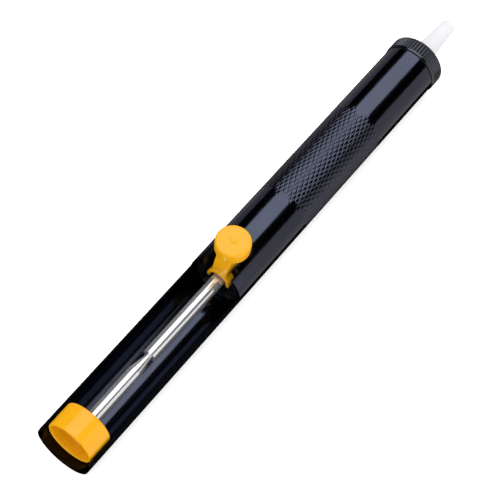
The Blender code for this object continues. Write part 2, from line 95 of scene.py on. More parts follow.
# Nose: a ribbed screw cap that clamps the nozzle's flange
CAP_R = 10.368
CAP_ROUND = 0.9
CAP_FRONT = 194.4
CAP_REAR = 188.3
CAP_LIP_R = 10.13  # the smooth lip behind the ribs
CAP_LIP_WIDTH = 0.4
CAP_SHOULDER_R = 8.4  # where the domed front meets the rounded edge
CAP_BOSS_FRONT = 196.0
CAP_BOSS_R = 5.0
CAP_BORE_R = 4.05
CAP_WALL_REAR = 191.5
CAP_RIBS = 54
CAP_RIB_DEPTH = 0.42
CAP_RIB_SHAPE = (0.0, 0.0, 0.12, 0.55, 1.0, 0.55, 0.12, 0.0)
CAP_RIBS_REAR = 189.1
CAP_RING_STEP = 1.2  # between the mesh rings along the ribs
CAP_RIB_FADE = 0.5  # over which the ribs run out on the rounded edge
SPIGOT_REAR = 179.0
SPIGOT_R = 8.7
SPIGOT_BORE_R = 7.2
SPIGOT_CHAMFER = 0.3
GASKET_SEAT_X = 189.3
GASKET_SEAT_R = 9.8
GASKET_FRONT = 189.0
GASKET_INNER_R, GASKET_OUTER_R = 9.0, 9.5
NOZZLE_TIP = 215.0
NOZZLE_TIP_R = 2.65
NOZZLE_BASE_R = 3.75
NOZZLE_BORE_R = 1.3
NOZZLE_FUNNEL_R = 2.6  # the bore's wide rear mouth
FLANGE_REAR, FLANGE_FRONT = 188.6, 190.0
FLANGE_R = 6.9
SEAL_FRONT = 191.2
SEAL_INNER_R = 4.35
RETAINER_REAR = 186.9
RETAINER_INNER_R = 4.3

# Plunger: shaft, knob and its screw
SHAFT_R = 2.35
SHAFT_REAR = 10.0
SHAFT_SHOULDER = 98.4
SHAFT_FRONT = 110.6
THREAD_R = 1.5
THREAD_PITCH = 0.5
THREAD_DEPTH = 0.22
THREAD_REAR, THREAD_FRONT = 98.7, 110.2
GROOVE_REAR, GROOVE_FRONT = 34.2, 41.4  # the catch, its sharp shoulder facing the tail
GROOVE_R = 1.05
PIN_SOCKET_REAR = 105.5
PIN_SOCKET_R = 0.9
SCREW_SOCKET_FRONT = 17.6
SCREW_SOCKET_R = 1.3
KNOB_REAR, KNOB_FRONT = 3.2, 12.7
KNOB_R = 8.45
KNOB_CUP_R = 7.4
KNOB_CUP_FLOOR_R = 7.3
KNOB_FLOOR = 7.6  # where the cup ends
KNOB_COLLAR_REAR = 7.2  # the low collar round the screw's head
KNOB_COLLAR_R, KNOB_COLLAR_FOOT_R = 4.0, 4.3
KNOB_SCREW_SEAT = 8.9
KNOB_SCREW_WELL_R = 2.9
KNOB_SHAFT_SEAT = 9.7
KNOB_SCREW_REAR, KNOB_SCREW_NECK, KNOB_SCREW_FRONT = 7.7, 8.6, 17.0
KNOB_SCREW_HEAD_R = 2.6
KNOB_SCREW_R = 1.0
KNOB_SLOT_HALF_WIDTH = 0.3
SLOT_DEPTH = 0.5  # of the slots in the three screws

# Plunger: piston group and cleaning pin
PISTON_REAR, PISTON_FRONT = 98.7, 108.7
PISTON_R = 8.5
PISTON_BORE_R = 1.8
PISTON_RECESS_REAR = 106.3
PISTON_RECESS_R = 4.2
O_RING_X = 103.7
O_RING_R = 7.75  # to the middle of its section
O_RING_SECTION_R = 1.0
O_RING_GROOVE_R = 6.45
O_RING_GROOVE_HALF_WIDTH = 1.3
WASHER_THICKNESS = 0.7
WASHER_INNER_R, WASHER_OUTER_R = 1.85, 3.7
NUT_REAR, NUT_FRONT = 107.6, 109.9
NUT_ACROSS_FLATS = 5.5
NUT_FACE_R = 2.7  # where the corners' chamfer starts
NUT_CHAMFER = 0.45
PIN_REAR, PIN_TIP = 106.0, 171.0
PIN_R = 0.6
PIN_TIP_R = 0.4

# Springs
MAIN_SPRING_REAR = PISTON_FRONT + GAP
MAIN_SPRING_FRONT = RETAINER_REAR - GAP
MAIN_COIL_R = 6.4
MAIN_WIRE_R = 0.55
MAIN_COIL_TURNS = 17
BUTTON_SPRING_FOOT_Z, BUTTON_SPRING_TOP_Z = -8.0, -4.9
BUTTON_COIL_R = 1.4
BUTTON_WIRE_R = 0.2
BUTTON_COIL_TURNS = 4
COIL_STEPS = 40  # points in one turn
FLAT_CLIMB = 0.12  # how steeply a coil's end turns climb, as a share of the others

# Guide bush, its two screws and the bumper
BUSH_REAR, BUSH_FRONT = 76.4, 96.0
BUSH_R = 8.7
BUSH_BORE_R = 2.7
POCKET_FRONT = 86.6
POCKET_HALF_WIDTH = 5.75
POCKET_FLOOR_Z = -6.3
SPRING_WELL_R = 2.0
SPRING_WELL_Z = -8.3
BUSH_SCREW_X = 92.0
BUSH_SCREW_ANGLE = math.radians(120)  # from straight up, to either side
BUSH_SCREW_TOP, BUSH_SCREW_NECK, BUSH_SCREW_TIP = 9.85, 9.0, 5.6  # from the barrel's axis
BUSH_SCREW_HEAD_R = 1.7
BUSH_SCREW_R = 0.8
BUSH_SLOT_HALF_WIDTH = 0.2
BUSH_SLOT_HALF_LENGTH = 1.15
SCREW_HOLE_TOP = BARREL_R + PAST
HEAD_HOLE_BOTTOM, HEAD_HOLE_R = 5.0, 2.0
THREAD_HOLE_BOTTOM, THREAD_HOLE_R = 5.3, 1.1
BUMPER_REAR, BUMPER_FRONT = 96.3, 98.3
BUMPER_R = 6.0

# Release button: head, neck and a saddle over the shaft
BUTTON_X = 82.6
HEAD_TOP_Z = 18.1
HEAD_UNDER_Z = 13.6
HEAD_R = 5.95
HEAD_CONE_R = 4.6  # of the cone under the head
STEM_TOP_Z, STEM_FOOT_Z = 11.2, 7.0
STEM_TOP_R, STEM_R = 3.4, 3.3
DIMPLE_RADII = (0.25, 0.5, 0.75, 1.0, 1.25, 1.5, 1.7)
DIMPLE_DEPTH = 0.45
NECK_HALF_WIDTH = 2.8
NECK_REAR, NECK_FRONT = 76.7, 86.2
NECK_UNDER_Z = 4.9
NECK_HEEL_X, NECK_HEEL_Z = 79.5, 3.0  # the low heel behind the latch plate
NECK_FRONT_LOW_Z, NECK_FRONT_TOP_Z = 6.0, 13.4  # ends of the upright front
NECK_TOP_X, NECK_TOP_Z = 79.2, 14.4  # where the neck's curved back meets the head
NECK_BACK_STEPS = 12
SADDLE_REAR, SADDLE_FRONT = 76.4, 79.9
SADDLE_INNER_R, SADDLE_INNER_Z = 3.3, 0.6
SADDLE_OUTER_R, SADDLE_OUTER_Z = 4.4, 0.5
SADDLE_FOOT_Z = -0.3
SKIN_VOXEL = 0.16  # the joined forms' skin is rebuilt at this fineness
SKIN_ROUNDS = 9  # and then relaxed this many times

# Latch plate: a shoulder plate with a hole round the shaft and a tab up into the button
PLATE_X = 81.0
PLATE_THICKNESS = 1.0
PLATE_HALF_WIDTH = 4.5
PLATE_HOLE_R = 2.65
PLATE_HOLE_RISE = 1.5  # the hole is this much taller than it is wide
PLATE_SHOULDER_Z = 4.5
PLATE_BOTTOM_Z = -4.6
TAB_HALF_WIDTH = 1.7
TAB_TOP_Z = 9.3

# Stage
FLOOR_HALF = 4000.0
FLOOR_Z = -0.02
CAMERA_LENS = 104.93
SENSOR_WIDTH = 36.0
CAMERA_PLACE = (-0.2265, -0.1116, 0.4267)  # metres
CAMERA_TURN = (29.334, -5.45, -52.760)  # degrees
# name: angle, distance, breadth, the X it starts and ends at, radiance, colour; in degrees and metres
LIGHTS = {
    "main_softbox": (-11.0, 0.6, 0.70, -0.8, 0.85, 1.6, (0.97, 0.99, 1.0)),
    "side_softbox": (101.5, 0.6, 1.02, 0.24, 0.85, 0.55, (1.0, 0.92, 0.86)),
    "rear_side_softbox": (94.0, 0.6, 1.33, -0.8, 0.24, 0.8, (1.0, 0.96, 0.95)),
    "low_card": (-106.0, 0.6, 0.62, 0.27, 0.85, 0.3, (1.0, 0.93, 1.0)),
}


# ---------------------------------------------------------------- geometry


def new_mesh(name, points, faces, matrix=Matrix.Identity(4)):
    """An object from points in millimetres, with its normals facing out."""
    mesh = bpy.data.meshes.new(name)
    work = bmesh.new()
    verts = [work.verts.new(matrix @ (Vector(p) * MM)) for p in points]
    for face in faces:
        work.faces.new([verts[i] for i in face])
    bmesh.ops.recalc_face_normals(work, faces=work.faces)
    work.to_mesh(mesh)
    work.free()
    obj = bpy.data.objects.new(name, mesh)
    bpy.context.scene.collection.objects.link(obj)
    return obj


def rounded(outline, steps=5, closed=True):
    """The outline's points, with each corner that states a radius turned into an arc."""
    points = []
    count = len(outline)
    for i, corner in enumerate(outline):
        here = Vector(corner[:2])
        radius = corner[2] if len(corner) > 2 else 0.0
        if not radius or (not closed and i in (0, count - 1)):
            points.append(tuple(here))
            continue
        back = (Vector(outline[i - 1][:2]) - here).normalized()
        ahead = (Vector(outline[(i + 1) % count][:2]) - here).normalized()
        half = back.angle(ahead) / 2
        centre = here + (back + ahead).normalized() * radius / math.sin(half)
        start = here + back * radius / math.tan(half) - centre
        end = here + ahead * radius / math.tan(half) - centre
        for k in range(steps + 1):
            blend = start.slerp(end, k / steps) if start.length else start
            points.append(tuple(centre + blend.normalized() * radius))
    return points


def arc(centre, radius, start, end, steps):
    """Points of an arc from one angle to another, in degrees, both ends included."""
    points = []
    for i in range(steps + 1):
        angle = math.radians(start + (end - start) * i / steps)
        points.append((centre[0] + radius * math.cos(angle), centre[1] + radius * math.sin(angle)))
    return points


def rectangle(a_low, a_high, b_low, b_high):
    return [(a_low, b_low), (a_high, b_low), (a_high, b_high), (a_low, b_high)]


def ring_section(rear, front, inner, outer, inner_round, outer_round):
    """The outline of a plain ring, for rounded() and lathe()."""
    return [
        (rear, inner, inner_round), (rear, outer, outer_round),
        (front, outer, outer_round), (front, inner, inner_round),
    ]


def upright(x):
    """Places a form that is turned round a vertical line through the barrel's axis."""
    return Matrix.Translation((TAIL_X + x * MM, 0.0, AXIS_Z))


def lathe(name, outline, segments=96, matrix=ALONG_X, shape=None):
    """Turns a closed outline of (along, radius) round its own Z. shape may change a radius at each angle."""
    points, rings = [], []
    for along, radius in outline:
        if radius < 1e-6:
            rings.append([len(points)] * segments)
            points.append((0.0, 0.0, along))
            continue
        ring = []
        for k in range(segments):
            angle = 2 * math.pi * k / segments
            r = shape(along, radius, k) if shape else radius
            ring.append(len(points))
            points.append((r * math.cos(angle), r * math.sin(angle), along))
        rings.append(ring)
    faces = []
    for a, b in zip(rings, rings[1:] + rings[:1]):
        for k in range(segments):
            face = list(dict.fromkeys((a[k], a[(k + 1) % segments], b[(k + 1) % segments], b[k])))
            if len(face) > 2:
                faces.append(face)
    return new_mesh(name, points, faces, matrix)


def drill(start, end, radius, segments, matrix=ALONG_X):
    """A cylinder to cut a round hole with."""
    outline = [(start, 0.0), (start, radius), (end, radius), (end, 0.0)]
    return lathe("hole_cutter", outline, segments, matrix)


def sweep(name, path, radius, sides, matrix=ALONG_X):
    """A round wire along a path, with flat ends."""
    path = [Vector(p) for p in path]
    points, faces = [], []
    up = Vector((0.0, 0.0, 1.0))
    last = len(path) - 1
    for i, here in enumerate(path):
        along = (path[min(i + 1, last)] - path[max(i - 1, 0)]).normalized()
        side = along.cross(up).normalized()
        other = along.cross(side)
        for k in range(sides):
            angle = 2 * math.pi * k / sides
            points.append(here + (side * math.cos(angle) + other * math.sin(angle)) * radius)
    for i in range(last):
        for k in range(sides):
            a, b = i * sides + k, i * sides + (k + 1) % sides
            faces.append((a, b, b + sides, a + sides))
    faces.append(tuple(range(sides)))
    faces.append(tuple(range(last * sides, (last + 1) * sides)))
    return new_mesh(name, points, faces, matrix)


def prism(name, outline, low, high, plane):
    """A solid from an outline in two of the frame's axes, between two values on the third."""
    order = {"XZ": (0, 2, 1), "XY": (0, 1, 2), "YZ": (1, 2, 0)}[plane]
    points = []
    for level in (low, high):
        for a, b in outline:
            point = [0.0, 0.0, 0.0]
            point[order[0]], point[order[1]], point[order[2]] = a, b, level
            points.append(point)
    n = len(outline)
    faces = [tuple(range(n)), tuple(range(n, 2 * n))]
    faces += [(i, (i + 1) % n, n + (i + 1) % n, n + i) for i in range(n)]
    return new_mesh(name, points, faces, FROM_TAIL)


def apply(obj):
    """Replaces an object's mesh with what its modifiers make of it."""
    bpy.context.view_layer.update()
    graph = bpy.context.evaluated_depsgraph_get()
    mesh = bpy.data.meshes.new_from_object(obj.evaluated_get(graph))
    obj.modifiers.clear()
    obj.data = mesh


def combine(obj, other, operation="DIFFERENCE"):
    """A Boolean, applied, and its other object removed."""
    change = obj.modifiers.new("cut", "BOOLEAN")
    change.operation = operation
    change.solver = "EXACT"
    change.object = other
    apply(obj)
    bpy.data.objects.remove(other)


def soften(obj, width, angle, segments=2):
    """Rounds the sharp edges that a Boolean leaves."""
    bevel = obj.modifiers.new("edges", "BEVEL")
    bevel.width = width * MM
    bevel.segments = segments
    bevel.limit_method = "ANGLE"
    bevel.angle_limit = math.radians(angle)
    apply(obj)


def smooth(obj, angle, weighted):
    """Smooth shading, broken at edges sharper than the angle; weighted normals keep flat faces flat."""
    obj.data.shade_smooth()
    obj.data.set_sharp_from_angle(angle=math.radians(angle))
    if weighted:
        normals = obj.modifiers.new("normals", "WEIGHTED_NORMAL")
        normals.keep_sharp = True


def finish_piece(obj, body, material, nodes, angle=38, weighted=True):
    """Shades a piece, gives it its material, and puts it in its CAD node's place."""
    smooth(obj, angle, weighted)
    obj.data.materials.clear()
    obj.data.materials.append(material)
    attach(obj, body)
    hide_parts(*nodes)


# --------------------------------------------------------------- materials


class Shader:
    """A Principled material with a few short ways to add nodes to it.

    A noise's values lie mostly between NOISE_LOW and NOISE_HIGH, and spread() and rough() stretch that range.
    """

    NOISE_LOW, NOISE_HIGH = 0.3, 0.7

    def __init__(self, name, colour, roughness, **inputs):
        self.material = bpy.data.materials.new(name)
        self.material.use_nodes = True
        self.nodes = self.material.node_tree.nodes
        self.links = self.material.node_tree.links
        self.shader = self.nodes["Principled BSDF"]
        self.set("Base Color", (*colour, 1.0))
        self.set("Roughness", roughness)
        for key, value in inputs.items():
            self.set(key.replace("_", " "), value)
        self.bump = None

    def set(self, key, value):
        self.shader.inputs[key].default_value = value

    def noise(self, scale, stretch=(1, 1, 1), detail=4.0, distortion=0.0):
        coords = self.nodes.new("ShaderNodeTexCoord")
        place = self.nodes.new("ShaderNodeMapping")
        place.inputs["Scale"].default_value = stretch
        texture = self.nodes.new("ShaderNodeTexNoise")
        texture.inputs["Scale"].default_value = scale
        texture.inputs["Detail"].default_value = detail
        texture.inputs["Roughness"].default_value = 0.55
        texture.inputs["Distortion"].default_value = distortion
        self.links.new(coords.outputs["Object"], place.inputs["Vector"])
        self.links.new(place.outputs["Vector"], texture.inputs["Vector"])
        return texture.outputs["Fac"]

    def ramp(self, value, *stops):
        ramp = self.nodes.new("ShaderNodeValToRGB")
        elements = ramp.color_ramp.elements
        while len(elements) < len(stops):
            elements.new(0.5)
        for element, (place, colour) in zip(elements, stops):
            element.position = place
            element.color = (*colour, 1.0)
        self.links.new(value, ramp.inputs["Fac"])
        return ramp.outputs["Color"]

    def spread(self, value, low, high):
        ranged = self.nodes.new("ShaderNodeMapRange")
        ranged.inputs["From Min"].default_value = self.NOISE_LOW
        ranged.inputs["From Max"].default_value = self.NOISE_HIGH
        ranged.inputs["To Min"].default_value = low
        ranged.inputs["To Max"].default_value = high
        self.links.new(value, ranged.inputs["Value"])
        return ranged.outputs["Result"]

    def zone(self, axis, centre, reach, within=None):
        """1 where a coordinate is within reach of a centre, and 0 elsewhere or outside another zone."""
        coords = self.nodes.new("ShaderNodeTexCoord")
        split = self.nodes.new("ShaderNodeSeparateXYZ")
        near = self.nodes.new("ShaderNodeMath")
        near.operation = "COMPARE"
        near.inputs[1].default_value = centre
        near.inputs[2].default_value = reach
        self.links.new(coords.outputs["Object"], split.inputs["Vector"])
        self.links.new(split.outputs[axis], near.inputs[0])
        if within is None:
            return near.outputs["Value"]
        both = self.nodes.new("ShaderNodeMath")
        both.operation = "MULTIPLY"
        self.links.new(near.outputs["Value"], both.inputs[0])
        self.links.new(within, both.inputs[1])
        return both.outputs["Value"]

    def blend(self, share, outside, inside):
        """The outside colour, turned to the inside one by a share from 0 to 1."""
        mix = self.nodes.new("ShaderNodeMixRGB")
        mix.inputs["Color2"].default_value = (*inside, 1.0)
        self.links.new(share, mix.inputs["Fac"])
        self.links.new(outside, mix.inputs["Color1"])
        return mix.outputs["Color"]

    def link_colour(self, colour):
        self.links.new(colour, self.shader.inputs["Base Color"])

    def tint(self, value, *stops):
        self.link_colour(self.ramp(value, *stops))

    def rough(self, value, low, high):
        self.links.new(self.spread(value, low, high), self.shader.inputs["Roughness"])

    def relief(self, value, height, strength):
        """Adds a bump, its height in millimetres, on top of any that is already there."""
        bump = self.nodes.new("ShaderNodeBump")
        bump.inputs["Distance"].default_value = height * MM
        bump.inputs["Strength"].default_value = strength
        self.links.new(value, bump.inputs["Height"])
        if self.bump:
            self.links.new(self.bump.outputs["Normal"], bump.inputs["Normal"])
        self.links.new(bump.outputs["Normal"], self.shader.inputs["Normal"])
        self.bump = bump


def anodised_black():
    """Satin black, darker at the tail's end, with painted shade that turns the trough's rims nearly black."""
    made = Shader("black_anodised_aluminium", (0.07, 0.078, 0.11), 0.13, Metallic=1.0)
    dark, light = (0.063, 0.070, 0.100), (0.078, 0.086, 0.122)
    clouds = made.ramp(made.noise(38, detail=3.0), (0.35, dark), (0.7, light))
    trough = made.zone("X", TAIL_X + 0.5 * TROUGH_END * MM, 0.51 * TROUGH_END * MM)
    # painted shade: this mask turns the trough's rims nearly black
    rims = made.zone("Z", AXIS_Z + SHADED_RIM_Z * MM, SHADED_RIM_REACH * MM, trough)
    # the barrel's colour is made darker near the tail's end
    tail = made.zone("X", TAIL_X + DARK_TAIL_X * MM, DARK_TAIL_REACH * MM)
    darker_tail = made.blend(tail, clouds, TAIL_BLACK)
    made.link_colour(made.blend(rims, darker_tail, RIM_PAINTED_SHADE))
    made.rough(made.noise(900, (0.12, 1, 1), detail=6.0), 0.10, 0.18)
    made.relief(made.noise(1500, (0.08, 1, 1), detail=5.0), 0.004, 0.35)
    made.relief(made.noise(120, detail=2.0), 0.02, 0.15)
    return made.material


def moulded_black(name, low, high, grain, ior):
    """Black plastic, its roughness between low and high."""
    made = Shader(name, (0.004, 0.004, 0.005), low, IOR=ior, Specular_Tint=(0.82, 0.88, 1.0, 1.0))
    made.tint(made.noise(220, detail=5.0), (0.3, (0.003, 0.003, 0.004)), (0.75, (0.006, 0.006, 0.008)))
    made.rough(made.noise(1200, detail=5.0), low, high)
    made.relief(made.noise(3200, detail=3.0), grain, 0.35)
    return made.material


def moulded_yellow():
    made = Shader(
        "yellow_moulded_plastic", (0.79, 0.372, 0.004), 0.18, IOR=1.48,
        Subsurface_Weight=0.12, Subsurface_Radius=(1.0, 0.45, 0.1), Subsurface_Scale=0.0012,
    )
    flow = made.noise(60, (0.4, 1, 1), detail=4.0, distortion=0.6)
    made.tint(flow, (0.3, (0.77, 0.358, 0.003)), (0.7, (0.81, 0.386, 0.005)))
    made.rough(made.noise(700, detail=5.0), 0.14, 0.24)
    made.relief(made.noise(2600, detail=3.0), 0.006, 0.35)
    made.relief(made.noise(160, detail=2.0), 0.05, 0.2)
    return made.material


def polished_chrome():
    made = Shader("bright_plated_steel", (0.88, 0.89, 0.92), 0.14, Metallic=0.82)
    made.tint(made.noise(90, (0.3, 1, 1)), (0.3, (0.86, 0.87, 0.90)), (0.7, (0.92, 0.93, 0.96)))
    made.rough(made.noise(1100, (0.06, 1, 1), detail=6.0), 0.10, 0.18)
    made.relief(made.noise(2400, (0.03, 1, 1), detail=4.0), 0.003, 0.3)
    return made.material


def metal(name, dark, light, low, high, stretch=(1, 1, 1)):
    """Bare metal, its roughness between low and high and its grain drawn out by a stretch."""
    made = Shader(name, light, low, Metallic=1.0)
    made.tint(made.noise(140, detail=5.0), (0.3, dark), (0.7, light))
    made.rough(made.noise(1400, stretch, detail=5.0), low, high)
    made.relief(made.noise(2240, stretch, detail=4.0), 0.006, 0.5)
    return made.material


def fluoropolymer():
    made = Shader(
        "white_nozzle_plastic", (0.73, 0.72, 0.75), 0.34, IOR=1.38,
        Subsurface_Weight=0.2, Subsurface_Radius=(1.0, 0.95, 0.95), Subsurface_Scale=0.002,
    )
    made.tint(made.noise(160, detail=3.0), (0.3, (0.71, 0.70, 0.73)), (0.7, (0.75, 0.74, 0.77)))
    made.rough(made.noise(900, detail=4.0), 0.28, 0.42)
    made.relief(made.noise(900, (2.2, 0.3, 0.3), detail=3.0), 0.01, 0.3)
    return made.material


def acetal():
    made = Shader(
        "white_acetal", (0.84, 0.84, 0.81), 0.36, IOR=1.48, Subsurface_Weight=0.2, Subsurface_Scale=0.001
    )
    made.tint(made.noise(180, detail=3.0), (0.3, (0.8, 0.8, 0.765)), (0.7, (0.88, 0.88, 0.85)))
    made.rough(made.noise(700, (3.0, 0.2, 0.2)), 0.3, 0.45)
    made.relief(made.noise(1800, (3.0, 0.15, 0.15)), 0.012, 0.5)
    return made.material


def rubber():
    made = Shader("black_rubber", (0.02, 0.02, 0.02), 0.62, IOR=1.5)
    made.tint(made.noise(260, detail=4.0), (0.3, (0.014, 0.014, 0.015)), (0.75, (0.032, 0.032, 0.033)))
    made.rough(made.noise(1300, detail=4.0), 0.55, 0.78)
    made.relief(made.noise(2600, detail=3.0), 0.02, 0.6)
    return made.material


BLACK_METAL = anodised_black()
GLOSS_PLASTIC = moulded_black("gloss_black_plastic", 0.1, 0.18, 0.005, 1.9)
MATT_PLASTIC = moulded_black("matt_black_plastic", 0.45, 0.6, 0.02, 1.5)
YELLOW = moulded_yellow()
CHROME = polished_chrome()
STEEL = metal("zinc_plated_steel", (0.5, 0.51, 0.53), (0.66, 0.66, 0.67), 0.22, 0.4)
BLUED = metal("blued_steel", (0.03, 0.03, 0.036), (0.05, 0.05, 0.06), 0.3, 0.45)
WIRE = metal("drawn_spring_wire", (0.36, 0.36, 0.38), (0.52, 0.52, 0.54), 0.2, 0.36)
BRASS = metal("turned_brass", (0.62, 0.43, 0.16), (0.8, 0.6, 0.27), 0.2, 0.38, (3.0, 0.2, 0.2))
NOZZLE_WHITE = fluoropolymer()
PISTON_WHITE = acetal()
RUBBER = rubber()


# ------------------------------------------------------------------ barrel


def knurled_tube():
    """The whole barrel tube, with its crossed grooves as real relief. Triangles follow the grooves."""
    columns = KNURL_STARTS * KNURL_COLUMNS
    column = 2 * math.pi * BARREL_R / columns
    row = column / math.tan(KNURL_ANGLE)
    rows = int((KNURL_END - KNURL_START) / row)
    rim = BARREL_RIM_R
    front = BARREL_LENGTH - rim
    stations = [(0.0, BARREL_INNER_R + rim), (0.0, BARREL_R - rim)]
    stations += arc((rim, BARREL_R - rim), rim, 180, 90, 3)[1:]
    stations += [(float(x), BARREL_R) for x in range(10, int(KNURL_START), 10)]
    band_start = len(stations)
    stations += [(KNURL_START + i * row, BARREL_R) for i in range(rows + 1)]
    band_end = len(stations) - 1
    stations += [(x, BARREL_R) for x in (164.0, 176.0, front)]  # only to keep the mesh even
    stations += arc((front, BARREL_R - rim), rim, 90, 0, 3)[1:]
    stations += [(BARREL_LENGTH, BARREL_INNER_R + rim), (front, BARREL_INNER_R)]
    stations += [(float(x), BARREL_INNER_R) for x in range(180, 0, -12)]
    stations += [(rim, BARREL_INNER_R)]

    def off_groove(place):
        """How many columns away the nearest groove of one direction is."""
        half = KNURL_COLUMNS // 2
        return abs((place + half) % KNURL_COLUMNS - half)

    def groove(i, k):
        """Depth of the relief at row i of the band and column k, as a share of the full depth."""
        share = KNURL_PROFILE[min(off_groove(k - i), off_groove(k + i))]
        return share * min(1.0, min(i, rows - i) * row / KNURL_FADE)

    points = []
    for s, (x, r) in enumerate(stations):
        for k in range(columns):
            angle = 2 * math.pi * k / columns
            depth = KNURL_DEPTH * groove(s - band_start, k) if band_start <= s <= band_end else 0.0
            points.append(((r - depth) * math.cos(angle), (r - depth) * math.sin(angle), x))
    faces = []
    count = len(stations)
    for s in range(count):
        t = (s + 1) % count
        for k in range(columns):
            n = (k + 1) % columns
            a, b, c, d = s * columns + k, s * columns + n, t * columns + n, t * columns + k
            if not band_start <= s < band_end:
                faces.append((a, b, c, d))
            elif off_groove(k - s + band_start) <= off_groove(k + s - band_start + 1):
                faces += [(a, b, c), (a, c, d)]
            else:
                faces += [(a, b, d), (b, c, d)]
    return new_mesh("barrel_body", points, faces, ALONG_X)


def make_barrel():
    """The tube, with its trough, the trough's rear corners, the button's notch and two screw holes cut."""
    barrel = knurled_tube()
    above = 2 * BARREL_R
    rim = (BARREL_R - BARREL_INNER_R) / 2  # the trough's edges are rounded across the whole wall
    low = TROUGH_EDGE_Z - rim
    half = [(above, above), (above, low)] + arc((BARREL_INNER_R + rim, low), rim, 0, 180, 10)
    section = half + [(-y, z) for y, z in reversed(half)]
    combine(barrel, prism("trough_cutter", section, -PAST, TROUGH_END, "YZ"))
    corner = arc((TROUGH_CORNER_R, TROUGH_EDGE_Z - TROUGH_CORNER_R), TROUGH_CORNER_R, 90, 180, 12)
    corner += [(-PAST, TROUGH_EDGE_Z - TROUGH_CORNER_R), (-PAST, above), (TROUGH_CORNER_R, above)]
    combine(barrel, prism("corner_cutter", corner, -above, above, "XZ"))
    notch = [(TROUGH_END - PAST, -NOTCH_HALF_WIDTH)]
    notch += arc((NOTCH_ROUND_X, 0.0), NOTCH_HALF_WIDTH, -90, 90, 40)
    notch += [(TROUGH_END - PAST, NOTCH_HALF_WIDTH)]
    combine(barrel, prism("notch_cutter", notch, NOTCH_CUT_Z, above, "XY"))
    for turn in (BUSH_SCREW_ANGLE, -BUSH_SCREW_ANGLE):
        combine(barrel, drill(HEAD_HOLE_BOTTOM, SCREW_HOLE_TOP, HEAD_HOLE_R, 48, screw_matrix(turn)))
    finish_piece(barrel, "barrel", BLACK_METAL, ["barrel_tube"], angle=25)


def screw_matrix(turn):
    """Places a bush screw, or its hole, which point out from the barrel's axis along their own Z."""
    return upright(BUSH_SCREW_X) @ Matrix.Rotation(turn, 4, "X")


# -------------------------------------------------------------------- nose


def make_cap():
    edge = CAP_R - CAP_ROUND
    lip_front = CAP_REAR + CAP_LIP_WIDTH
    outline = rounded(
        [(CAP_BOSS_FRONT, CAP_BORE_R, 0.3), (CAP_BOSS_FRONT, CAP_BOSS_R, 0.5), (CAP_FRONT, CAP_SHOULDER_R)],
        3, closed=False,
    )
    outline += [(x, r) for r, x in arc((edge, CAP_FRONT - CAP_ROUND), CAP_ROUND, 90, 0, 8)]
    outline += [(CAP_FRONT - i * CAP_RING_STEP, CAP_R) for i in range(1, 5)]
    outline += [(CAP_RIBS_REAR + 0.1, CAP_R), (CAP_RIBS_REAR - 0.1, CAP_R - 0.03)]
    outline += [(lip_front + 0.15, CAP_LIP_R + 0.03), (lip_front, CAP_LIP_R)]
    outline += [(CAP_REAR + 0.12, CAP_LIP_R), (CAP_REAR, CAP_LIP_R - 0.11)]
    outline += [(CAP_REAR, GASKET_SEAT_R), (GASKET_SEAT_X, GASKET_SEAT_R), (GASKET_SEAT_X, SPIGOT_R)]
    outline += [(SPIGOT_REAR + SPIGOT_CHAMFER, SPIGOT_R), (SPIGOT_REAR, SPIGOT_R - SPIGOT_CHAMFER)]
    outline += [(SPIGOT_REAR, SPIGOT_BORE_R + SPIGOT_CHAMFER), (SPIGOT_REAR + SPIGOT_CHAMFER, SPIGOT_BORE_R)]
    outline += [(CAP_WALL_REAR, SPIGOT_BORE_R), (CAP_WALL_REAR, CAP_BORE_R)]
    ribs_start = edge + 0.2

    def ribs(along, radius, k):
        if radius < ribs_start or along < CAP_RIBS_REAR:
            return radius
        fade = min(1.0, (radius - ribs_start) / CAP_RIB_FADE)
        return radius - CAP_RIB_DEPTH * CAP_RIB_SHAPE[k % len(CAP_RIB_SHAPE)] * fade

    cap = lathe("nose_cap_body", outline, CAP_RIBS * len(CAP_RIB_SHAPE), shape=ribs)
    finish_piece(cap, "cap", GLOSS_PLASTIC, ["nose_cap"], angle=50)
    section = ring_section(CAP_REAR, GASKET_FRONT, GASKET_INNER_R, GASKET_OUTER_R, 0.15, 0.15)
    gasket = lathe("cap_gasket_ring", rounded(section, 3))
    finish_piece(gasket, "cap", RUBBER, ["cap_gasket"])


def make_nozzle():
    outline = [(NOZZLE_TIP, NOZZLE_BORE_R, 0.12), (NOZZLE_TIP, NOZZLE_TIP_R, 0.85)]
    outline += [(CAP_BOSS_FRONT + GAP, NOZZLE_BASE_R), (FLANGE_FRONT, NOZZLE_BASE_R, 0.2)]
    outline += [(FLANGE_FRONT, FLANGE_R, 0.25), (FLANGE_REAR, FLANGE_R, 0.25)]
    outline += [(FLANGE_REAR, NOZZLE_FUNNEL_R, 0.3), (FLANGE_FRONT, NOZZLE_BORE_R, 0.4)]
    nozzle = lathe("nozzle_tip", rounded(outline, 6), 72)
    finish_piece(nozzle, "nozzle_set", NOZZLE_WHITE, ["nozzle"])
    section = ring_section(FLANGE_FRONT + GAP, SEAL_FRONT, SEAL_INNER_R, FLANGE_R, 0.3, 0.3)
    seal = lathe("nozzle_seal_ring", rounded(section, 4))
    finish_piece(seal, "nozzle_set", RUBBER, ["nozzle_seal"])
    section = ring_section(RETAINER_REAR, FLANGE_REAR - GAP, RETAINER_INNER_R, FLANGE_R, 0.25, 0.3)
    retainer = lathe("nozzle_retainer", rounded(section, 3))
    finish_piece(retainer, "nozzle_set", BRASS, ["nozzle_retaining_ring"])


# ----------------------------------------------------------------- plunger


def make_plunger():
    make_shaft()
    make_knob()
    make_knob_screw()


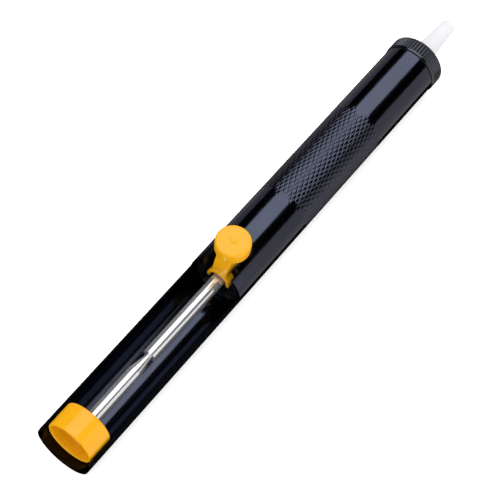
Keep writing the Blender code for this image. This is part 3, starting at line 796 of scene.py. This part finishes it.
def thread():
    """A row of shallow grooves that stands for the shaft's thread, listed from the front to the rear."""
    points = []
    for i in range(int((THREAD_FRONT - THREAD_REAR) / THREAD_PITCH)):
        x = THREAD_FRONT - i * THREAD_PITCH
        points += [(x, THREAD_R), (x - 0.15 * THREAD_PITCH, THREAD_R)]
        points += [(x - 0.5 * THREAD_PITCH, THREAD_R - THREAD_DEPTH), (x - 0.85 * THREAD_PITCH, THREAD_R)]
    return points


def make_shaft():
    outline = [(PIN_SOCKET_REAR, 0.0), (PIN_SOCKET_REAR, PIN_SOCKET_R, 0.05)]
    outline += [(SHAFT_FRONT, PIN_SOCKET_R, 0.1), (SHAFT_FRONT, THREAD_R, 0.2)]
    outline += thread()
    outline += [(SHAFT_SHOULDER, THREAD_R, 0.05), (SHAFT_SHOULDER, SHAFT_R, 0.1)]
    outline += [(GROOVE_FRONT, SHAFT_R, 0.04), (GROOVE_FRONT, GROOVE_R, 0.12), (GROOVE_REAR, SHAFT_R, 0.5)]
    outline += [(SHAFT_REAR, SHAFT_R, 0.3), (SHAFT_REAR, SCREW_SOCKET_R, 0.1)]
    outline += [(SCREW_SOCKET_FRONT, SCREW_SOCKET_R, 0.05), (SCREW_SOCKET_FRONT, 0.0)]
    shaft = lathe("plunger_rod", rounded(outline, 3), 72)
    finish_piece(shaft, "plunger", CHROME, ["plunger_shaft"], angle=35)


def make_knob():
    outline = [(KNOB_FRONT, SHAFT_R + GAP, 0.15), (KNOB_FRONT, KNOB_R, 0.75)]
    outline += [(KNOB_REAR, KNOB_R, 0.5), (KNOB_REAR, KNOB_CUP_R, 0.5), (KNOB_FLOOR, KNOB_CUP_FLOOR_R, 0.6)]
    outline += [(KNOB_FLOOR, KNOB_COLLAR_FOOT_R, 0.3), (KNOB_COLLAR_REAR, KNOB_COLLAR_R, 0.2)]
    outline += [(KNOB_COLLAR_REAR, KNOB_SCREW_WELL_R, 0.15), (KNOB_SCREW_SEAT, KNOB_SCREW_WELL_R, 0.1)]
    outline += [(KNOB_SCREW_SEAT, SCREW_SOCKET_R, 0.05), (KNOB_SHAFT_SEAT, SCREW_SOCKET_R, 0.05)]
    outline += [(KNOB_SHAFT_SEAT, SHAFT_R + GAP, 0.1)]
    knob = lathe("plunger_knob_cup", rounded(outline, 7), 144)
    finish_piece(knob, "plunger", YELLOW, ["plunger_knob"])


def make_knob_screw():
    outline = [(KNOB_SCREW_FRONT, 0.0), (KNOB_SCREW_FRONT, KNOB_SCREW_R - 0.25, 0.1)]
    outline += [(KNOB_SCREW_FRONT - 0.3, KNOB_SCREW_R, 0.05), (KNOB_SCREW_NECK, KNOB_SCREW_R, 0.1)]
    outline += [(KNOB_SCREW_NECK, KNOB_SCREW_HEAD_R, 0.1), (KNOB_SCREW_REAR, KNOB_SCREW_HEAD_R, 0.35)]
    outline += [(KNOB_SCREW_REAR, 0.0)]
    screw = lathe("knob_screw_body", rounded(outline, 4), 64)
    floor = KNOB_SCREW_REAR + SLOT_DEPTH
    slot = rectangle(KNOB_SCREW_REAR - PAST, floor, -KNOB_SLOT_HALF_WIDTH, KNOB_SLOT_HALF_WIDTH)
    combine(screw, prism("slot_cutter", slot, -PAST, PAST, "XY"))
    soften(screw, 0.05, 50, 1)
    finish_piece(screw, "plunger", STEEL, ["knob_screw"])


def make_piston():
    groove_rear, groove_front = O_RING_X - O_RING_GROOVE_HALF_WIDTH, O_RING_X + O_RING_GROOVE_HALF_WIDTH
    outline = [(PISTON_FRONT, PISTON_RECESS_R, 0.2), (PISTON_FRONT, PISTON_R, 0.35)]
    outline += [(groove_front, PISTON_R, 0.12), (groove_front, O_RING_GROOVE_R, 0.1)]
    outline += [(groove_rear, O_RING_GROOVE_R, 0.1), (groove_rear, PISTON_R, 0.12)]
    outline += [(PISTON_REAR, PISTON_R, 0.35), (PISTON_REAR, PISTON_BORE_R, 0.15)]
    outline += [(PISTON_RECESS_REAR, PISTON_BORE_R, 0.1), (PISTON_RECESS_REAR, PISTON_RECESS_R, 0.15)]
    piston = lathe("piston_body", rounded(outline, 4), 120)
    finish_piece(piston, "plunger", PISTON_WHITE, ["piston"])
    section = [(x, r) for r, x in arc((O_RING_R, O_RING_X), O_RING_SECTION_R, 0, 345, 23)]
    ring = lathe("piston_ring", section, 120)
    finish_piece(ring, "plunger", RUBBER, ["piston_o_ring"])
    seat = PISTON_RECESS_REAR + GAP
    section = ring_section(seat, seat + WASHER_THICKNESS, WASHER_INNER_R, WASHER_OUTER_R, 0.1, 0.12)
    washer = lathe("piston_washer_disc", rounded(section, 3), 64)
    finish_piece(washer, "plunger", STEEL, ["piston_washer"])
    make_nut()
    outline = [(PIN_TIP, 0.0), (PIN_TIP, PIN_TIP_R, 0.15), (PIN_TIP - 0.4, PIN_R, 0.3)]
    outline += [(PIN_REAR, PIN_R, 0.1), (PIN_REAR, 0.0)]
    pin = lathe("cleaning_needle", rounded(outline, 3), 32)
    finish_piece(pin, "plunger", STEEL, ["cleaning_pin"])


def make_nut():
    """A hexagon, cut to a form that chamfers its corners, and bored."""
    corner_r = NUT_ACROSS_FLATS / math.sqrt(3)
    nut = prism("piston_hex_nut", arc((0.0, 0.0), corner_r, 0, 300, 5), NUT_REAR, NUT_FRONT, "YZ")
    past = 0.1
    form = [(NUT_REAR - past, 0.0), (NUT_REAR - past, NUT_FACE_R)]
    form += [(NUT_REAR + NUT_CHAMFER, corner_r + past), (NUT_FRONT - NUT_CHAMFER, corner_r + past)]
    form += [(NUT_FRONT + past, NUT_FACE_R), (NUT_FRONT + past, 0.0)]
    combine(nut, lathe("nut_form", form, 64), "INTERSECT")
    combine(nut, drill(NUT_REAR - PAST, NUT_FRONT + PAST, PISTON_BORE_R, 48))
    soften(nut, 0.06, 30, 1)
    finish_piece(nut, "plunger", BRASS, ["piston_nut"], angle=28)


# ----------------------------------------------------------------- springs


def coil_path(start, end, radius, wire, turns, flat=0.7):
    """A helix along its own Z. At each end, a share of a turn, flat, hardly climbs."""
    count = turns * COIL_STEPS
    climb = []
    for i in range(count + 1):
        turn = i / COIL_STEPS
        climb.append(FLAT_CLIMB if min(turn, turns - turn) < flat else 1.0)
    total = sum(climb[1:])
    height, path = 0.0, []
    for i in range(count + 1):
        height += climb[i] / total if i else 0.0
        angle = 2 * math.pi * i / COIL_STEPS
        z = start + wire + (end - start - 2 * wire) * height
        path.append((radius * math.cos(angle), radius * math.sin(angle), z))
    return path


def make_springs():
    path = coil_path(MAIN_SPRING_REAR, MAIN_SPRING_FRONT, MAIN_COIL_R, MAIN_WIRE_R, MAIN_COIL_TURNS)
    spring = sweep("main_spring_coil", path, MAIN_WIRE_R, 12)
    finish_piece(spring, "barrel", WIRE, ["main_spring"], weighted=False)
    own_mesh(spring)

    foot_z, top_z = BUTTON_SPRING_FOOT_Z, BUTTON_SPRING_TOP_Z
    path = coil_path(foot_z, top_z, BUTTON_COIL_R, BUTTON_WIRE_R, BUTTON_COIL_TURNS, flat=0.56)
    under_plate = upright(PLATE_X)
    spring = sweep("button_spring_coil", path, BUTTON_WIRE_R, 10, under_plate)
    finish_piece(spring, "barrel", WIRE, ["button_spring"], weighted=False)
    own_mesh(spring)


# ------------------------------------------------------ bush and its screws


def make_bush():
    outline = [(BUSH_FRONT, BUSH_BORE_R, 0.3), (BUSH_FRONT, BUSH_R, 0.5)]
    outline += [(BUSH_REAR, BUSH_R, 0.4), (BUSH_REAR, BUSH_BORE_R, 0.3)]
    bush = lathe("guide_bush_body", rounded(outline, 4), 120)
    pocket = rectangle(BUSH_REAR - PAST, POCKET_FRONT, POCKET_FLOOR_Z, 2 * BARREL_R)
    combine(bush, prism("pocket_cutter", pocket, -POCKET_HALF_WIDTH, POCKET_HALF_WIDTH, "XZ"))
    combine(bush, drill(SPRING_WELL_Z, 0.0, SPRING_WELL_R, 48, upright(PLATE_X)))
    for turn in (BUSH_SCREW_ANGLE, -BUSH_SCREW_ANGLE):
        combine(bush, drill(THREAD_HOLE_BOTTOM, SCREW_HOLE_TOP, THREAD_HOLE_R, 32, screw_matrix(turn)))
    soften(bush, 0.15, 50)
    finish_piece(bush, "barrel", MATT_PLASTIC, ["guide_bush"])

    for side, turn in (("left", BUSH_SCREW_ANGLE), ("right", -BUSH_SCREW_ANGLE)):
        make_bush_screw(side, turn)

    section = ring_section(BUMPER_REAR, BUMPER_FRONT, BUSH_BORE_R, BUMPER_R, 0.3, 0.5)
    bumper = lathe("bumper_cushion", rounded(section, 4), 96)
    finish_piece(bumper, "barrel", RUBBER, ["bumper_ring"])


def make_bush_screw(side, turn):
    """A low round head with crossed slots, and its shank."""
    outline = [(BUSH_SCREW_TOP, 0.0), (BUSH_SCREW_TOP, BUSH_SCREW_HEAD_R, 0.3)]
    outline += [(BUSH_SCREW_NECK, BUSH_SCREW_HEAD_R, 0.1), (BUSH_SCREW_NECK, BUSH_SCREW_R, 0.05)]
    outline += [(BUSH_SCREW_TIP, BUSH_SCREW_R, 0.1), (BUSH_SCREW_TIP, 0.0)]
    screw = lathe(f"bush_screw_{side}_body", rounded(outline, 4), 48, screw_matrix(turn))
    across = rectangle(
        -BUSH_SLOT_HALF_WIDTH, BUSH_SLOT_HALF_WIDTH, -BUSH_SLOT_HALF_LENGTH, BUSH_SLOT_HALF_LENGTH
    )
    for flip in (0.0, math.pi / 2):
        slot = prism("slot_cutter", across, BUSH_SCREW_TOP - SLOT_DEPTH, BUSH_SCREW_TOP + PAST, "XY")
        slot.data.transform(screw_matrix(turn) @ Matrix.Rotation(flip, 4, "Z") @ FROM_TAIL.inverted())
        combine(screw, slot)
    finish_piece(screw, "barrel", STEEL, [f"bush_screw_{side}"], angle=30)


# ------------------------------------------------------------------ button


def dimple(radius):
    """Height of the head's hollow top at a distance from its middle."""
    return HEAD_TOP_Z - DIMPLE_DEPTH * (0.5 + 0.5 * math.cos(math.pi * radius / DIMPLE_RADII[-1]))


def arch(radius, centre_z, foot_z, steps):
    """An outline in Y and Z: straight legs up from a foot, and a half round over them."""
    return [(-radius, foot_z), (radius, foot_z)] + arc((0.0, centre_z), radius, 0, 180, steps)


def neck_outline():
    """The neck from the side, in X and Z, with a back that curves from the head down to the saddle."""
    outline = [(NECK_REAR, NECK_HEEL_Z), (NECK_HEEL_X, NECK_HEEL_Z), (NECK_HEEL_X, NECK_UNDER_Z)]
    outline += [(NECK_FRONT - 0.2, NECK_UNDER_Z), (NECK_FRONT, NECK_FRONT_LOW_Z)]
    outline += [(NECK_FRONT, NECK_FRONT_TOP_Z), (NECK_TOP_X, NECK_TOP_Z)]
    for i in range(1, NECK_BACK_STEPS):
        share = i / NECK_BACK_STEPS
        x = NECK_REAR + (NECK_TOP_X - NECK_REAR) * (1 - share) ** 2
        outline.append((x, NECK_TOP_Z + (NECK_UNDER_Z - NECK_TOP_Z) * share))
    return outline


def make_button():
    outline = [(dimple(0.0), 0.0)] + [(dimple(r), r) for r in DIMPLE_RADII]
    outline += [(HEAD_TOP_Z, HEAD_R, 0.9), (HEAD_UNDER_Z, HEAD_R, 0.5)]
    outline += [(HEAD_UNDER_Z - 1.0, HEAD_CONE_R, 0.6), (STEM_TOP_Z, STEM_TOP_R, 1.5)]
    outline += [(STEM_FOOT_Z, STEM_R), (STEM_FOOT_Z, 0.0)]
    button = lathe("latch_button_body", rounded(outline, 8), 128, upright(BUTTON_X))
    combine(button, prism("neck_form", neck_outline(), -NECK_HALF_WIDTH, NECK_HALF_WIDTH, "XZ"), "UNION")
    saddle = arch(SADDLE_OUTER_R, SADDLE_OUTER_Z, SADDLE_FOOT_Z, 40)
    combine(button, prism("saddle_form", saddle, SADDLE_REAR, SADDLE_FRONT, "YZ"), "UNION")
    blend_form(button)
    rear, front = PLATE_X - PLATE_THICKNESS / 2 - GAP, PLATE_X + PLATE_THICKNESS / 2 + GAP
    under = arch(SADDLE_INNER_R, SADDLE_INNER_Z, -PAST, 48)
    combine(button, prism("arch_cutter", under, SADDLE_REAR - PAST, rear, "YZ"))
    slot = rectangle(rear, front, 0.0, TAB_TOP_Z + GAP)
    combine(button, prism("plate_slot_cutter", slot, -TAB_HALF_WIDTH - GAP, TAB_HALF_WIDTH + GAP, "XZ"))
    finish_piece(button, "button", YELLOW, ["latch_button"], angle=50)


def blend_form(obj):
    """Runs joined forms into one moulded skin, with its corners a little rounded."""
    remesh = obj.modifiers.new("skin", "REMESH")
    remesh.mode = "VOXEL"
    remesh.voxel_size = SKIN_VOXEL * MM
    relax = obj.modifiers.new("relax", "SMOOTH")
    relax.factor = 0.5
    relax.iterations = SKIN_ROUNDS
    apply(obj)


def make_latch():
    half = [(PLATE_HALF_WIDTH, PLATE_BOTTOM_Z, 1.6), (PLATE_HALF_WIDTH, PLATE_SHOULDER_Z, 0.3)]
    half += [(TAB_HALF_WIDTH, PLATE_SHOULDER_Z, 0.3), (TAB_HALF_WIDTH, TAB_TOP_Z, 0.4)]
    outline = half + [(-y, z, radius) for y, z, radius in reversed(half)]
    rear, front = PLATE_X - PLATE_THICKNESS / 2, PLATE_X + PLATE_THICKNESS / 2
    plate = prism("latch_plate_body", rounded(outline, 6), rear, front, "YZ")
    hole = arc((0.0, 0.0), PLATE_HOLE_R, 180, 360, 32) + arc((0.0, PLATE_HOLE_RISE), PLATE_HOLE_R, 0, 180, 32)
    combine(plate, prism("hole_cutter", hole, PLATE_X - PAST, PLATE_X + PAST, "YZ"))
    soften(plate, 0.08, 50)
    finish_piece(plate, "button", BLUED, ["latch_plate"])


# ------------------------------------------------------------------- stage


def area_light(name, angle, distance, breadth, x_from, x_to, radiance, colour):
    """A flat softbox square to the barrel, at an angle from straight up towards -Y."""
    turn = math.radians(angle)
    data = bpy.data.lights.new(name, "AREA")
    data.shape = "RECTANGLE"
    data.size = x_to - x_from
    data.size_y = breadth
    data.energy = radiance * math.pi * data.size * data.size_y
    data.color = colour
    obj = bpy.data.objects.new(name, data)
    bpy.context.scene.collection.objects.link(obj)
    obj.location = ((x_from + x_to) / 2, -math.sin(turn) * distance, AXIS_Z + math.cos(turn) * distance)
    obj.rotation_euler = (turn, 0.0, 0.0)
    obj.visible_camera = False


def make_floor():
    corners = [(x, y, FLOOR_Z) for x, y in rectangle(-FLOOR_HALF, FLOOR_HALF, -FLOOR_HALF, FLOOR_HALF)]
    floor = new_mesh("floor", corners, [(0, 1, 2, 3)])
    floor.visible_glossy = False
    paper = Shader(
        "white_paper_floor", (0.93, 0.93, 0.93), 0.9,
        Emission_Color=(1.0, 1.0, 1.0, 1.0), Emission_Strength=0.5,
    )
    paper.tint(paper.noise(30, detail=3.0), (0.3, (0.925, 0.925, 0.925)), (0.7, (0.94, 0.94, 0.94)))
    floor.data.materials.append(paper.material)


def make_world():
    """White light from all round, which the shiny surfaces see as nearly black."""
    world = bpy.data.worlds.new("studio")
    bpy.context.scene.world = world
    world.use_nodes = True
    nodes, links = world.node_tree.nodes, world.node_tree.links
    room = nodes["Background"]
    room.inputs["Color"].default_value = (1.0, 1.0, 1.0, 1.0)
    room.inputs["Strength"].default_value = 0.55
    dark = nodes.new("ShaderNodeBackground")
    dark.inputs["Color"].default_value = (0.004, 0.004, 0.005, 1.0)
    path = nodes.new("ShaderNodeLightPath")
    mix = nodes.new("ShaderNodeMixShader")
    links.new(path.outputs["Is Glossy Ray"], mix.inputs["Fac"])
    links.new(room.outputs["Background"], mix.inputs[1])
    links.new(dark.outputs["Background"], mix.inputs[2])
    links.new(mix.outputs["Shader"], nodes["World Output"].inputs["Surface"])


def make_stage():
    make_floor()
    for name, sizes in LIGHTS.items():
        area_light(name, *sizes)
    make_world()
    bpy.context.scene.view_settings.view_transform = "Standard"


def make_camera():
    data = bpy.data.cameras.new("camera")
    data.lens = CAMERA_LENS
    data.sensor_width = SENSOR_WIDTH
    data.clip_start = 0.01
    camera = bpy.data.objects.new("camera", data)
    bpy.context.scene.collection.objects.link(camera)
    camera.location = CAMERA_PLACE
    camera.rotation_euler = [math.radians(turn) for turn in CAMERA_TURN]
    bpy.context.scene.camera = camera


make_camera()
make_stage()
make_barrel()
make_cap()
make_nozzle()
make_plunger()
make_piston()
make_springs()
make_bush()
make_button()
make_latch()
